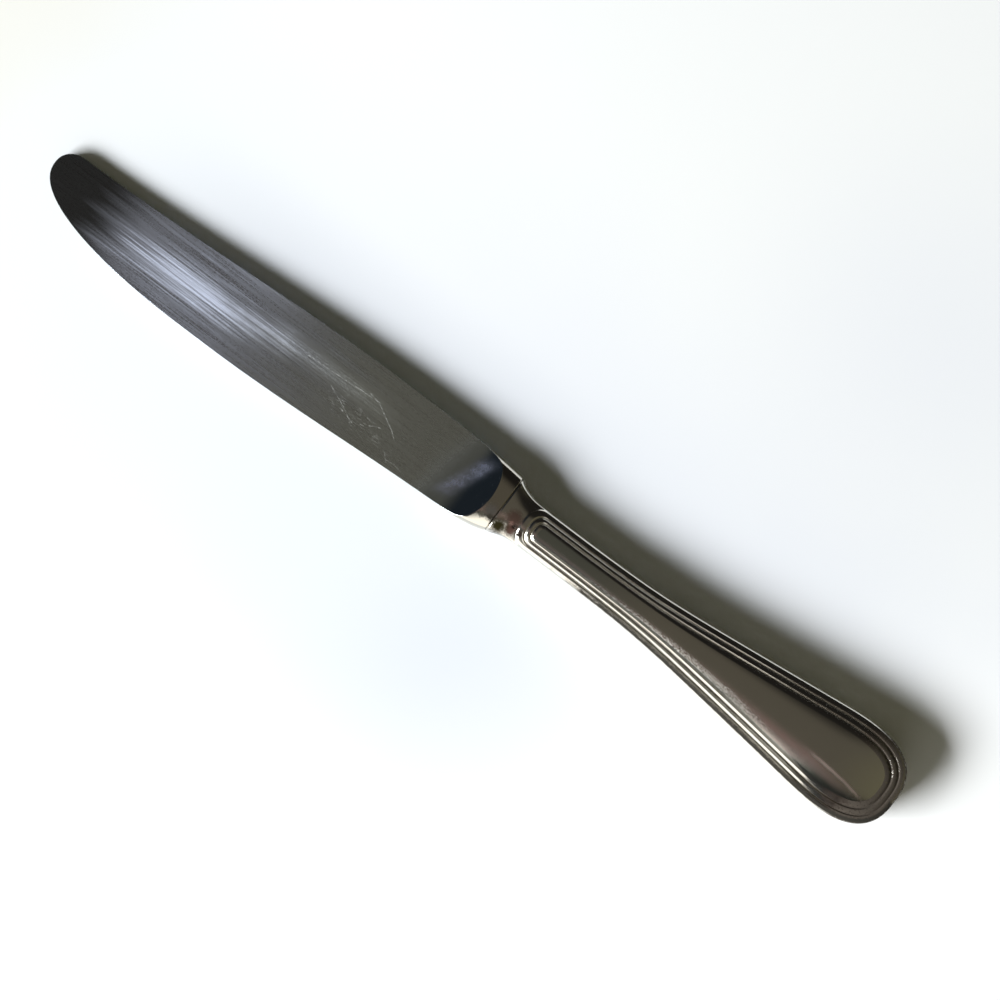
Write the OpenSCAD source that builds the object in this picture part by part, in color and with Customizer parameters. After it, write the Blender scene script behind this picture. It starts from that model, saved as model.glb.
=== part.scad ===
// A table knife with a hollow handle, lying on its side as on a table.
// Blade, bolster and tang are one forging. The handle is two stamped shells with a double thread
// border, soldered edge to edge, and a filling that holds the tang.
//
// The pieces are drawn with the knife level. x runs along the handle, from the seam between bolster
// and handle at x = 0 towards the butt. y points to the spine, and the plane z = 0 halves the knife.
// at_rest() sets the knife down on the two places that carry it, the neck and the belly of the handle.

/* [Blade] */
// Length from the tip to the seam with the handle
blade_l = 131; // [120:1:140]
// Deepest point of the cutting edge, below the handle's axis
belly_depth = 11.75; // [10.5:0.25:13]
// Depth of the cutting edge at the heel
heel_depth = 8.75; // [8:0.25:10]
// Highest point of the spine, above the handle's axis
spine_top = 9.3; // [8.7:0.1:10.5]
// Height of the spine where the tip begins to round
spine_tip = 5.8; // [4.5:0.1:7]
// Thickness at the heel, under the spine
blade_t = 2.4; // [2.2:0.1:3]

/* [Bolster] */
// Reach of the seam towards the spine
seam_spine = 8.2; // [7:0.1:8.6]
// Reach of the seam towards the edge
seam_edge = 7.2; // [6.5:0.1:7.9]
// Where the blade's face begins to sweep up into the bolster, before the seam
sweep_start = 12.9; // [11.5:0.1:14]
// Radius of that sweep
sweep_r = 16.2; // [14:0.1:18]

/* [Handle] */
// Length from the seam to the butt
handle_l = 114; // [105:1:122]
// Width of the neck
neck_w = 11; // [10:0.1:12]
// Widest place near the butt
butt_w = 23.7; // [21:0.1:26]
// Thickness of the bolster and the neck
neck_t = 8.2; // [7.6:0.1:9]
// Thickness of the belly near the butt
butt_t = 11.5; // [10.5:0.1:13]

/* [Thread border] */
// Height of the threads over the plain handle
thread_rise = 0.28; // [0.15:0.01:0.35]
// Height of the panel inside the threads
panel_rise = 0.35; // [0.2:0.01:0.45]
// Where the border closes in an arch, after the seam
arch_start = 5.9; // [5.3:0.1:7]

/* [Shells and filling] */
// Thickness of the stamped metal
wall = 0.6; // [0.5:0.05:0.8]
// Height of the solder line between the shells
solder_t = 0.15; // [0.1:0.05:0.25]
// Width and depth of the fine groove at the seam
groove = 0.3; // [0.2:0.05:0.4]
// Length of the tang inside the handle
tang_l = 48; // [30:1:60]
// Width of the tang
tang_w = 6; // [4:0.5:7]
// Thickness of the tang
tang_t = 3.4; // [2.4:0.2:4.4]

/* [Hidden] */

// Rules that the curves share

function clamp(t) = max(0, min(1, t));
function mix(a, b, t) = a + (b - a) * t;
function ease(x, a, b) = (1 - cos(180 * clamp((x - a) / (b - a)))) / 2;
// A superellipse quarter: 1 at t = 0, falling to 0 at t = 1
function round_off(t, p) = pow(1 - pow(clamp(t), p), 1 / p);

// Blade outline

tip_y = 1;                   // height of the foremost point of the tip
tip_r = 5.5;                 // length of the tip's rounding on the spine side
sweep_l = 0.36 * blade_l;    // length of the long curve from the belly to the tip
spine_waist_l = 26;          // stretch over which the spine draws in to the seam
edge_waist_l = 9;            // the same at the heel

function spine(x) =
    let (rise = mix(spine_tip, spine_top, ease(x, -0.97 * blade_l, -0.27 * blade_l)))
    let (waist = (spine_top - seam_spine) * pow(clamp(1 + x / spine_waist_l), 2.6))
    tip_y + (rise - waist - tip_y) * round_off((tip_r - blade_l - x) / tip_r, 2.2);

function edge(x) =
    let (depth = mix(belly_depth, heel_depth, ease(x, -0.595 * blade_l, -0.015 * blade_l)))
    let (waist = (heel_depth - seam_edge) * pow(clamp(1 + x / edge_waist_l), 2))
    tip_y - (depth - waist + tip_y) * round_off((sweep_l - blade_l - x) / sweep_l, 2.3);

// Handle outline

flare_l = 8;                      // the neck's flare ends here
cap_l = 24;                       // length of the butt's rounding
cap_x = handle_l - cap_l;
cap_p = 2.6;                      // squareness of the butt
swell_x = 41.3 / 114 * handle_l;  // where the handle starts to widen
swell_soft = 6;                   // how gently it starts
swell_slope = (butt_w - neck_w) / 2 / (0.475 * handle_l);

// Half width of the handle as if its straight sides ran on past the butt
function swell(x) = neck_w / 2 + swell_slope * swell_soft * ln(1 + exp((x - swell_x) / swell_soft));

// Half width on one side: side is 1 towards the spine and -1 towards the edge
function half_width(x, side) =
    let (reach = side > 0 ? seam_spine : seam_edge)
    x < 0
        ? side * (side > 0 ? spine(x) : edge(x))
        : swell(x) + (reach - swell(0)) * pow(clamp(1 - x / flare_l), 2.6);

// Height of the plain handle and bolster over the plane z = 0, inset by t on all sides.
// It is a steep rounded rim, which depends on the distance to the outline, and a shallow dome.

rim_soft = 1.4;    // the rim's rounding at the seam, per millimetre
rim_sharp = 11;    // the same along the handle
// The rim's share of the height: the neck is rounder than the collar and the grip
share_seam = 0.65;
share_neck = 0.52;
share_grip = 0.62;
share_butt = 0.5;

function rim_share(x) =
    let (neck = mix(share_seam, share_neck, ease(x, 0, 12)))
    let (grip = neck + (share_grip - share_neck) * ease(x, 22, 34))
    mix(grip, share_butt, clamp((swell(x) * 2 - neck_w) / (butt_w - neck_w)));

function half_thickness(x) = mix(neck_t / 2, butt_t / 2 - panel_rise, ease(x, 5, 0.83 * handle_l));

function crown(x, y, t = 0) =
    let (w = half_width(x, y < 0 ? -1 : 1) - t)
    let (past = max(0, x - cap_x))
    let (v = pow(pow(abs(y) / w, cap_p) + pow(past / (cap_l - t), cap_p), 1 / cap_p))
    let (to_rim = v < 0.001 ? w : max(0, norm([past, y]) * (1 / v - 1)))
    let (rim = sqrt(1 - exp(-mix(rim_soft, rim_sharp, ease(x, 0, 7)) * to_rim)))
    let (share = rim_share(x))
    (half_thickness(x) - t) * (share * rim + (1 - share) * (1 - min(1, v * v)));

// Forging: sections along x, each a closed loop from the spine over the top to the edge and back.
// They have the full height of the bolster everywhere, and the blade is ground out of them.

across = 20;         // steps from spine to edge
tip_steps = 16;
mid_steps = 10;
bolster_steps = 16;
bolster_x = -15;     // the sections lie closer together from here to the seam

forging_x = concat(
    [for (k = [0 : tip_steps - 1]) -blade_l + max(0.02, sweep_l * (1 - cos(90 * k / tip_steps)))],
    [for (k = [0 : mid_steps - 1]) mix(sweep_l - blade_l, bolster_x, k / mid_steps)],
    [for (k = [0 : bolster_steps]) mix(bolster_x, 0, k / bolster_steps)]
);

function section_y(x) = [for (k = [0 : across]) mix(spine(x), edge(x), (1 - cos(180 * k / across)) / 2)];

function forging_section(x) =
    let (y = section_y(x))
    concat(
        [for (k = [0 : across]) [x, y[k], k == 0 || k == across ? 0 : crown(x, y[k])]],
        [for (k = [across - 1 : -1 : 1]) [x, y[k], -crown(x, y[k])]]
    );

// The last section again, drawn in by the groove, at x
function spigot_section(x) =
    let (up = 1 - groove / crown(0, 0))
    [for (p = forging_section(0)) [x, p.y * (1 - groove / half_width(0, p.y < 0 ? -1 : 1)), p.z * up]];

forging_sections = concat(
    [for (x = forging_x) forging_section(x)],
    [spigot_section(0), spigot_section(groove)]
);

// Grinding: both faces are flat from the tip to the heel, thinning towards the tip and the edge, and
// then sweep up along an arc until they leave the forging at the bolster

taper_w = 0.033;     // thinning of each face per millimetre towards the edge
taper_l = 0.0038;    // the same towards the tip
heel_x = -20;        // the flat ends here
level_x = -8;        // the thinning towards the edge has died out here
ground_steps = 20;

function flat_face(x, y) = blade_t / 2 + taper_l * (x + sweep_start) + taper_w * (y - spine_top);

function ground_face(x, y) =
    let (arc = pow(max(0, x + sweep_start), 2) / (2 * sweep_r))
    mix(flat_face(x, y), blade_t / 2, ease(x, heel_x, level_x)) + arc;

function ground_section(x) =
    let (reach = max(spine_top, belly_depth) + 2)
    let (high = ground_face(x, reach), low = ground_face(x, -reach))
    [[x, reach, high], [x, -reach, low], [x, -reach, -low], [x, reach, -high]];

ground_x = concat([-blade_l - 1], [for (k = [0 : ground_steps]) mix(heel_x, 1, k / ground_steps)]);

// A closed solid through sections that all have the same number of points
module skin(sections) {
    m = len(sections[0]);
    last = (len(sections) - 1) * m;
    sides = [
        for (i = [0 : len(sections) - 2], k = [0 : m - 1])
            let (a = i * m + k, b = i * m + (k + 1) % m)
            each [[a, a + m, b + m], [a, b + m, b]]
    ];
    start = [for (k = [0 : m - 1]) k];
    end = [for (k = [m - 1 : -1 : 0]) last + k];
    polyhedron([for (s = sections) each s], concat(sides, [start, end]), convexity = 4);
}

// Handle shells: rows of points round the handle. A row has station 0 on the axis at the neck, runs
// along the edge side to station half_n on the axis at the butt, and comes back along the spine side.

arch_n = 14;      // stations from the axis at the neck to the sides
seam_n = 8;       // of these, the ones that lie on the seam in the outermost row
side_n = 15;
butt_n = 17;
half_n = arch_n + side_n + butt_n;
full_n = 2 * half_n;
arch_p = 2.5;     // squareness of the arch that closes the border at the neck

// Distances from the outline to the rows of the border, at the neck and at the butt: foot and crest
// of the outer thread, first groove, flank and crest of the inner thread, second groove, panel
neck_inset = [0.2, 0.6, 1.45, 1.75, 2.12, 2.6, 2.9, 3.25, 3.8];
butt_inset = [0.2, 0.6, 1.6, 1.9, 2.45, 3.15, 3.5, 4.1, 4.8];
row_rise = [0, 0.8, 1, 0, 0.75, 0.95, -0.1, 0.85];
// Parts of the way from the outermost row to the first row of the border, at the sides and the collar
side_steps = [0.07, 0.22, 0.5];
collar_steps = [0.3, 0.6, 0.85];
// Parts of the way from the panel's edge to its ridge
panel_steps = [0.3, 0.65];
// Parts of the way from the inner edge of the shell to its ridge
inner_steps = [0, 0.03, 0.1, 0.3, 0.62];

border_growth = 1.6;    // millimetres of swell over which the insets change from neck to butt

// The threads grow wider as the handle does
function inset(row, x) =
    mix(neck_inset[row], butt_inset[row], 1 - exp(-(swell(x) - neck_w / 2) / border_growth));

function arch_front(row) = arch_start + 1.22 * (neck_inset[row] - neck_inset[0]);
function arch_centre(row) = arch_front(row) + 0.8 * (neck_w / 2 - neck_inset[row]);

// Point of the border's row at station j of one half, with y as a distance from the axis
function border_point(row, j) =
    j < arch_n
        ? let (a = 90 * j / arch_n)
          [
              mix(arch_centre(row), arch_front(row), pow(cos(a), 2 / arch_p)),
              (neck_w / 2 - neck_inset[row]) * pow(sin(a), 2 / arch_p)
          ]
        : j < arch_n + side_n
            ? let (x = mix(arch_centre(row), cap_x, (j - arch_n) / side_n))
              [x, swell(x) - inset(row, x)]
            : cap_point(inset(row, cap_x), j);

// Point of the butt's rounding at station j, inset by o
function cap_point(o, j) =
    let (a = 90 * (j - arch_n - side_n) / butt_n)
    let (x = cap_x + (cap_l - o) * pow(sin(a), 2 / cap_p))
    [x, (swell(x) - o) * pow(max(0, cos(a)), 2 / cap_p)];

// Point of the outermost row, inset by t: along the seam, the neck's flare, the sides and the butt
function outline_point(j, side, t) =
    j <= seam_n
        ? [groove, (half_width(groove, side) - t) * sin(90 * j / seam_n)]
        : j < arch_n + side_n
            ? let (along = pow((j - seam_n) / (arch_n - seam_n), 1.4))
              let (x = j < arch_n ? mix(groove, arch_centre(0), along) : border_point(0, j).x)
              [x, half_width(x, side) - t]
            : cap_point(t, j);

ridge_start = 12.6;
ridge_end = handle_l - 11;

// Point of the ridge abreast of station j
function ridge_point(j) =
    let (first = border_point(len(neck_inset) - 1, 0).x, last = border_point(len(neck_inset) - 1, half_n).x)
    let (x = border_point(len(neck_inset) - 1, j).x)
    [mix(ridge_start, ridge_end, (x - first) / (last - first)), 0];

function station(i) = i <= half_n ? i : full_n - i;
function side_of(i) = i <= half_n ? -1 : 1;

// A full row from a function of station and side, lifted by rise over the plain handle inset by t.
// On the outline a row lies on the solder.
function raised(q, side, rise, t) = [q.x, side * q.y, max(solder_t / 2, crown(q.x, side * q.y, t) + rise)];

function collar_row(k) = [
    for (i = [0 : full_n - 1])
        let (j = station(i), side = side_of(i))
        let (part = mix(collar_steps[k], side_steps[k], clamp((j - seam_n) / (arch_n - seam_n))))
        raised(mix(outline_point(j, side, 0), border_point(0, j), part), side, 0, 0)
];

function border_row(row) = [
    for (i = [0 : full_n - 1])
        raised(
            border_point(row, station(i)), side_of(i),
            row < len(row_rise) ? row_rise[row] * thread_rise : panel_rise, 0
        )
];

function panel_row(part) = [
    for (i = [0 : full_n - 1])
        let (j = station(i))
        raised(mix(border_point(len(neck_inset) - 1, j), ridge_point(j), part), side_of(i), panel_rise, 0)
];

function outline_row(t) = [
    for (i = [0 : full_n - 1])
        let (j = station(i), side = side_of(i), q = outline_point(j, side, t))
        [q.x, side * q.y, max(solder_t / 2, j < seam_n ? crown(q.x, side * q.y, t) : 0)]
];

function inner_row(part) = part == 0 ? outline_row(wall) : [
    for (i = [0 : full_n - 1])
        let (j = station(i), side = side_of(i))
        raised(mix(outline_point(j, side, wall), ridge_point(j), part), side, 0, wall)
];

function ridge_row(rise, t) = [for (j = [0 : half_n]) raised(ridge_point(j), 1, rise, t)];

inner_rows = [for (part = inner_steps) inner_row(part)];
outer_rows = concat(
    [outline_row(0)],
    [for (k = [0 : len(side_steps) - 1]) collar_row(k)],
    [for (row = [0 : len(neck_inset) - 1]) border_row(row)],
    [for (part = panel_steps) panel_row(part)]
);

// Faces of a band between two rows that start at the points a and b of the list
function band(a, b) = [
    for (i = [0 : full_n - 1])
        let (n = (i + 1) % full_n)
        each [[a + i, b + n, a + n], [a + i, b + i, b + n]]
];

// Faces between a row that starts at a and the ridge that starts at r. Both sides share the ridge.
function ridge_band(a, r) = [
    for (i = [0 : full_n - 1])
        let (n = (i + 1) % full_n, s = r + station(i), e = r + station(n))
        each [[a + i, e, a + n], [a + i, s, e]]
];

function turned(faces) = [for (f = faces) [f[0], f[2], f[1]]];

// One shell: up is 1 for the front and -1 for the back
module shell(up) {
    rows = concat([for (i = [len(inner_rows) - 1 : -1 : 0]) inner_rows[i]], outer_rows);
    ridge_in = len(rows) * full_n;
    ridge_out = ridge_in + half_n + 1;
    faces = concat(
        turned(ridge_band(0, ridge_in)),
        [for (r = [0 : len(rows) - 2]) each band(r * full_n, (r + 1) * full_n)],
        ridge_band((len(rows) - 1) * full_n, ridge_out)
    );
    points = concat([for (r = rows) each r], ridge_row(0, wall), ridge_row(panel_rise, 0));
    polyhedron([for (p = points) [p.x, p.y, up * p.z]], up > 0 ? faces : turned(faces), convexity = 6);
}

// Rest: the knife's weight is in the handle, a little behind the neck. So it lies on the neck and on
// the belly, on the line that touches both, and the tip stays just clear of the table.

balance_x = 30;   // its centre of mass, about

handle_face = concat([for (row = outer_rows) each row], ridge_row(panel_rise, 0));
neck_line = [for (p = handle_face) if (abs(p.y) < 0.01 && p.x < balance_x) p];
belly_line = [for (p = handle_face) if (abs(p.y) < 0.01 && p.x > balance_x) p];
lean = atan(min([for (a = neck_line) max([for (b = belly_line) (b.z - a.z) / (b.x - a.x)])]));
blade_face = [for (x = forging_x, y = section_y(x)) [x, y, min(crown(x, y), ground_face(x, y))]];
lift = -min([for (p = concat(handle_face, blade_face)) p.x * sin(lean) - p.z * cos(lean)]);

// Sets a level piece down on z = 0, with the middle of the knife over the origin
module at_rest() {
    translate([(blade_l - handle_l) / 2 * cos(lean), 0, lift]) rotate([0, -lean, 0]) children();
}

module tang() {
    translate([-1, -tang_w / 2, -tang_t / 2]) cube([tang_l + 1, tang_w, tang_t]);
}

module blade() {
    color([0.62, 0.63, 0.65]) at_rest() union() {
        intersection() {
            skin(forging_sections);
            skin([for (x = ground_x) ground_section(x)]);
        }
        tang();
    }
}

module handle_shell_front() {
    color([0.74, 0.72, 0.68]) at_rest() shell(1);
}

module handle_shell_back() {
    color([0.74, 0.72, 0.68]) at_rest() shell(-1);
}

// The line of solder follows the edges of the shells, from one end of the seam round to the other
module solder_seam() {
    outer = [for (i = [seam_n : full_n - seam_n]) [for (c = [0, 1]) outer_rows[0][i][c]]];
    inner = [for (i = [full_n - seam_n : -1 : seam_n]) [for (c = [0, 1]) inner_rows[0][i][c]]];
    color([0.55, 0.54, 0.52]) at_rest()
        linear_extrude(solder_t, center = true) polygon(concat(outer, inner));
}

// The filling takes the form of the inside of the shells, and is cast round the tang
module handle_filling() {
    n = len(inner_rows);
    top = [for (r = inner_rows) each r];
    top_ridge = ridge_row(0, wall);
    under = len(top) + len(top_ridge);
    points = concat(top, top_ridge);
    upper = concat(
        [for (r = [0 : n - 2]) each band(r * full_n, (r + 1) * full_n)],
        ridge_band((n - 1) * full_n, len(top))
    );
    lower = [for (f = turned(upper)) [f[0] + under, f[1] + under, f[2] + under]];
    rim = [
        for (i = [seam_n : full_n - seam_n - 1])
            each [[i, i + 1, i + under + 1], [i, i + under + 1, i + under]]
    ];
    mouth = concat(
        [for (i = [full_n - seam_n : full_n - 1]) i],
        [for (i = [0 : seam_n]) i],
        [for (i = [seam_n : -1 : 0]) under + i],
        [for (i = [full_n - 1 : -1 : full_n - seam_n]) under + i]
    );
    color([0.50, 0.45, 0.40]) at_rest() difference() {
        polyhedron(
            concat(points, [for (p = points) [p.x, p.y, -p.z]]),
            concat(upper, lower, rim, [mouth]),
            convexity = 4
        );
        tang();
    }
}

blade();
handle_shell_front();
handle_shell_back();
solder_seam();
handle_filling();
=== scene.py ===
import math
import bpy
import numpy as np
from mathutils import Matrix, Vector


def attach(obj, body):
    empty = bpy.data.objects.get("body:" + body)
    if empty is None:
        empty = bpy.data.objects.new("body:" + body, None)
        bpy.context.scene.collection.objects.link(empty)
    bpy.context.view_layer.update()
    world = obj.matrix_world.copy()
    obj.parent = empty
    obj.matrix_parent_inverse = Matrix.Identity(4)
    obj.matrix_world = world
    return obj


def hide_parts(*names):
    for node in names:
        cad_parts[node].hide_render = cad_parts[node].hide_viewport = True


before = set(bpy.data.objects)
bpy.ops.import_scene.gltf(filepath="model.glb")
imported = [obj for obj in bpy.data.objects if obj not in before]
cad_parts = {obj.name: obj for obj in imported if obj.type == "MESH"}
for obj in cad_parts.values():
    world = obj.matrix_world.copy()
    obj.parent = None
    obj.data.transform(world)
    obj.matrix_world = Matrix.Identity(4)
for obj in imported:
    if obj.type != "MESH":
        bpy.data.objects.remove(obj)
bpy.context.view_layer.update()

# The knife is drawn level, in millimetres: x from the seam between bolster and handle towards the
# butt, y towards the spine, z up from the plane that halves it. onTable sets it down afterwards.
metre = 0.001


# Rules that the curves share

def clamp(t):
    return np.clip(t, 0, 1)


def mix(a, b, t):
    return a + (b - a) * t


def ease(x, a, b):
    return (1 - np.cos(np.pi * clamp((x - a) / (b - a)))) / 2


def roundOff(t, squareness):  # a superellipse quarter: 1 at t = 0, falling to 0 at t = 1
    return (1 - clamp(t) ** squareness) ** (1 / squareness)


def smoothRow(values, place):  # a soft curve through a short list, read at fractional places
    last = len(values) - 1
    v = np.array([2 * values[0] - values[1], *values, 2 * values[last] - values[last - 1]])
    k = np.minimum(np.floor(place).astype(int), last - 1)
    f = place - k
    a, b, c, d = v[k], v[k + 1], v[k + 2], v[k + 3]
    return b + f * ((c - a) + f * ((2 * a - 5 * b + 4 * c - d) + f * (3 * b - a - 3 * c + d))) / 2


# Outlines

blade = {
    "length": 131,
    "bellyDepth": 11.75,       # deepest point of the edge, below the handle's axis
    "heelDepth": 8.75,
    "spineTop": 9.3,
    "spineTip": 5.8,
    "tipHeight": 1,
    "tipRound": 5.5,
    "tipSquare": (2.2, 2.3),   # how square the tip's rounding is towards the spine and the edge
    "spineWaist": (26, 2.6),   # stretch over which the spine draws in to the seam, and how suddenly
    "edgeWaist": (9, 2),
    "thickness": 2.4,          # at the heel, under the spine
    "thinToEdge": 0.033,       # thinning of each face per millimetre
    "thinToTip": 0.0038,
    "heelStart": -20,
    "heelEnd": -8,
    "sweepStart": 12.9,
    "sweepRadius": 16.2,
    "seamSpine": 8.2,
    "seamEdge": 7.2,
    "groove": 0.3,             # width and depth of the groove at the seam
}
blade["tipSweep"] = 0.36 * blade["length"]     # length of the long curve from the belly to the tip
# stretches over which the spine and the edge climb towards the seam
blade["spineClimb"] = (-0.97 * blade["length"], -0.27 * blade["length"])
blade["edgeClimb"] = (-0.595 * blade["length"], -0.015 * blade["length"])

handle = {
    "length": 114,
    "neckWidth": 11,
    "buttWidth": 23.7,
    "neckThick": 8.2,
    "buttThick": 11.5,
    "flare": (8, 2.6),         # how far behind the seam the neck's flare ends, and how suddenly it spreads
    "cap": 24,                 # length of the butt's rounding
    "capSquare": 2.6,
    "swellStart": 41.3,
    "swellSoft": 6,
    "wall": 0.6,
    "solder": 0.15,
    "panelRise": 0.35,         # the panel over the height that the plain crown would have
    "rimSteep": (1.4, 11),     # at the neck, and from rimReach on
    "rimReach": 7,
    "rimShare": (0.65, 0.52, 0.5),   # of the height: at the seam, from shareReach on, and at the butt
    "shareReach": 12,
    "archShare": (22, 34, 0.1),      # from and to where the share grows behind the arch, and how much
    "thickStart": 5,           # from here the handle grows thicker, up to thickEnd
}
handle["slope"] = (handle["buttWidth"] - handle["neckWidth"]) / 2 / (0.475 * handle["length"])
handle["capStart"] = handle["length"] - handle["cap"]
handle["thickEnd"] = 0.83 * handle["length"]


def spine(x):
    b = blade
    reach, power = b["spineWaist"]
    rise = mix(b["spineTip"], b["spineTop"], ease(x, *b["spineClimb"]))
    waist = (b["spineTop"] - b["seamSpine"]) * clamp(1 + x / reach) ** power
    end = roundOff((b["tipRound"] - b["length"] - x) / b["tipRound"], b["tipSquare"][0])
    return b["tipHeight"] + (rise - waist - b["tipHeight"]) * end


def edge(x):
    b = blade
    reach, power = b["edgeWaist"]
    depth = mix(b["bellyDepth"], b["heelDepth"], ease(x, *b["edgeClimb"]))
    waist = (b["heelDepth"] - b["seamEdge"]) * clamp(1 + x / reach) ** power
    end = roundOff((b["tipSweep"] - b["length"] - x) / b["tipSweep"], b["tipSquare"][1])
    return b["tipHeight"] - (depth - waist + b["tipHeight"]) * end


def swell(x):  # half the width without the flare: even at the neck, then steadily wider
    soft = handle["swellSoft"]
    along = soft * np.log1p(np.exp((x - handle["swellStart"]) / soft))
    return handle["neckWidth"] / 2 + handle["slope"] * along


def halfWidth(x, side):
    x = np.asarray(x, float)
    reach, power = handle["flare"]
    atSeam = np.where(side > 0, blade["seamSpine"], blade["seamEdge"])
    behind = swell(x) + (atSeam - swell(0)) * clamp(1 - x / reach) ** power
    return np.where(x < 0, np.where(side > 0, spine(x), -edge(x)), behind)


def crown(x, y, deep=0):  # height of the plain handle and bolster, a steep rim and a shallow dome
    square = handle["capSquare"]
    wide = halfWidth(x, np.where(y < 0, -1, 1)) - deep
    past = np.maximum(0, x - handle["capStart"])
    v = ((np.abs(y) / wide) ** square + (past / (handle["cap"] - deep)) ** square) ** (1 / square)
    toRim = np.where(v < 0.001, wide, np.maximum(0, np.hypot(past, y) * (1 / np.maximum(v, 0.001) - 1)))
    rim = np.sqrt(1 - np.exp(-mix(*handle["rimSteep"], ease(x, 0, handle["rimReach"])) * toRim))
    spread = (swell(x) * 2 - handle["neckWidth"]) / (handle["buttWidth"] - handle["neckWidth"])
    atSeam, behindSeam, atButt = handle["rimShare"]
    archStart, archEnd, archGain = handle["archShare"]
    share = mix(atSeam, behindSeam, ease(x, 0, handle["shareReach"]))
    share = mix(share + archGain * ease(x, archStart, archEnd), atButt, clamp(spread))
    atNeck, atBelly = handle["neckThick"] / 2, handle["buttThick"] / 2 - handle["panelRise"]
    thick = mix(atNeck, atBelly, ease(x, handle["thickStart"], handle["thickEnd"]))
    return (thick - deep) * (share * rim + (1 - share) * (1 - np.minimum(1, v * v)))


def groundFace(x, y):  # flat from tip to heel, then an arc up to the bolster
    b = blade
    flat = b["thickness"] / 2 + b["thinToTip"] * (x + b["sweepStart"])
    flat = flat + b["thinToEdge"] * (y - b["spineTop"])
    sweep = np.maximum(0, x + b["sweepStart"]) ** 2 / (2 * b["sweepRadius"])
    return mix(flat, b["thickness"] / 2, ease(x, b["heelStart"], b["heelEnd"])) + sweep


# Meshes

def addMesh(name, points, faces, marks, smooth=True):
    mesh = bpy.data.meshes.new(name)
    mesh.from_pydata(points.tolist(), [], faces)
    for mark, values in marks.items():
        mesh.attributes.new(mark, "FLOAT", "POINT").data.foreach_set("value", np.asarray(values, "f"))
    mesh.polygons.foreach_set("use_smooth", [smooth] * len(mesh.polygons))
    mesh.update()
    piece = bpy.data.objects.new(name, mesh)
    bpy.context.collection.objects.link(piece)
    return piece


# Handle shells: rows of points round the handle. Each row starts on the axis at the neck, runs along
# the edge side to the axis at the butt, and comes back along the spine side.

border = {
    "archStart": 5.9,
    "archSquare": 2.5,
    "archLong": 0.8,           # the arch's length over half its width
    "archSpread": 1.22,        # how much further apart the threads lie at its top than at the sides
    "insetSoft": 1.6,          # swell over which the insets grow from neckInset to buttInset
    "threadRise": 0.28,
    # foot of the outer thread, both sides of its crest, groove, flank and crest of the inner thread,
    # groove, flank of the panel, panel
    "neckInset": [0.2, 0.6, 1.45, 1.75, 2.12, 2.6, 2.9, 3.25, 3.8],
    "buttInset": [0.2, 0.6, 1.6, 1.9, 2.45, 3.15, 3.5, 4.1, 4.8],
    "rise": [0, 0.8, 1, 0, 0.75, 0.95, -0.1, 0.85],    # times threadRise; the panel's is added below
    "crest": 1,                # place in the lists where the mark of the outer thread is strongest
    "grooves": (3, 6),         # and those of the two grooves
    "archCount": 98,
    "seamCount": 56,           # of these, the points that lie on the seam in the outermost row
    "flareCrowd": 1.4,         # crowds the points along the neck's flare towards the seam
    "sideCount": 130,
    "buttCount": 110,
    "rimRows": 14,
    "rowSteps": 7,             # finer rows between two rows of the list
    "panelRows": 18,
    "panelMargin": 0.12,       # keeps the panel's marks above 0 on its axis
    "crestReach": 1.1,         # how far the marks reach, in places of the lists
    "grooveReach": 0.8,
    "innerParts": [0, 0.03, 0.1, 0.3, 0.62],
    "ridge": (12.6, 103),      # from and to where the shell has its highest line
    "ridgeInward": 9,
}
border["rise"].append(handle["panelRise"] / border["threadRise"])
halfCount = border["archCount"] + border["sideCount"] + border["buttCount"]
fullCount = 2 * halfCount
station = np.minimum(np.arange(fullCount), fullCount - np.arange(fullCount))
sideOf = np.where(np.arange(fullCount) <= halfCount, -1, 1)
mirrored = np.column_stack([np.ones(fullCount), sideOf])


def borderLine(place):  # half a row, with y as a distance from the axis
    neck = smoothRow(border["neckInset"], place)
    butt = smoothRow(border["buttInset"], place)

    def insetAt(x):
        return mix(neck, butt, 1 - np.exp(-(swell(x) - handle["neckWidth"] / 2) / border["insetSoft"]))

    front = border["archStart"] + border["archSpread"] * (neck - border["neckInset"][0])
    reach = handle["neckWidth"] / 2 - neck
    centre = front + border["archLong"] * reach
    power = 2 / border["archSquare"]
    turn = np.linspace(0, np.pi / 2, border["archCount"], endpoint=False)
    sideX = np.linspace(centre, handle["capStart"], border["sideCount"], endpoint=False)
    capX, capY = capLine(insetAt(handle["capStart"]))
    x = np.concatenate([mix(centre, front, np.cos(turn) ** power), sideX, capX])
    y = np.concatenate([reach * np.sin(turn) ** power, swell(sideX) - insetAt(sideX), capY])
    return x, y


def capLine(inset):
    turn = np.linspace(0, np.pi / 2, border["buttCount"] + 1)
    power = 2 / handle["capSquare"]
    x = handle["capStart"] + (handle["cap"] - inset) * np.sin(turn) ** power
    return x, (swell(x) - inset) * np.maximum(0, np.cos(turn)) ** power


def outlineLine(side, inset):  # along the seam, the neck's flare, the sides and the butt
    seam = border["seamCount"]
    borderX, _ = borderLine(0)
    along = np.arange(1, border["archCount"] - seam) / (border["archCount"] - seam)
    flareX = mix(blade["groove"], borderX[border["archCount"]], along ** border["flareCrowd"])
    sideX = np.concatenate([flareX, borderX[border["archCount"]:border["archCount"] + border["sideCount"]]])
    capX, capY = capLine(inset)
    seamY = (halfWidth(blade["groove"], side) - inset) * np.sin(np.linspace(0, np.pi / 2, seam + 1))
    x = np.concatenate([np.full(seam + 1, blade["groove"]), sideX, capX])
    return x, np.concatenate([seamY, halfWidth(sideX, side) - inset, capY])


def aroundHandle(half):  # both halves of a row from a function of the side
    edgeSide, spineSide = (np.column_stack(half(side)) for side in (-1, 1))
    return np.where(sideOf[:, None] < 0, edgeSide[station], spineSide[station]) * mirrored


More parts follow.
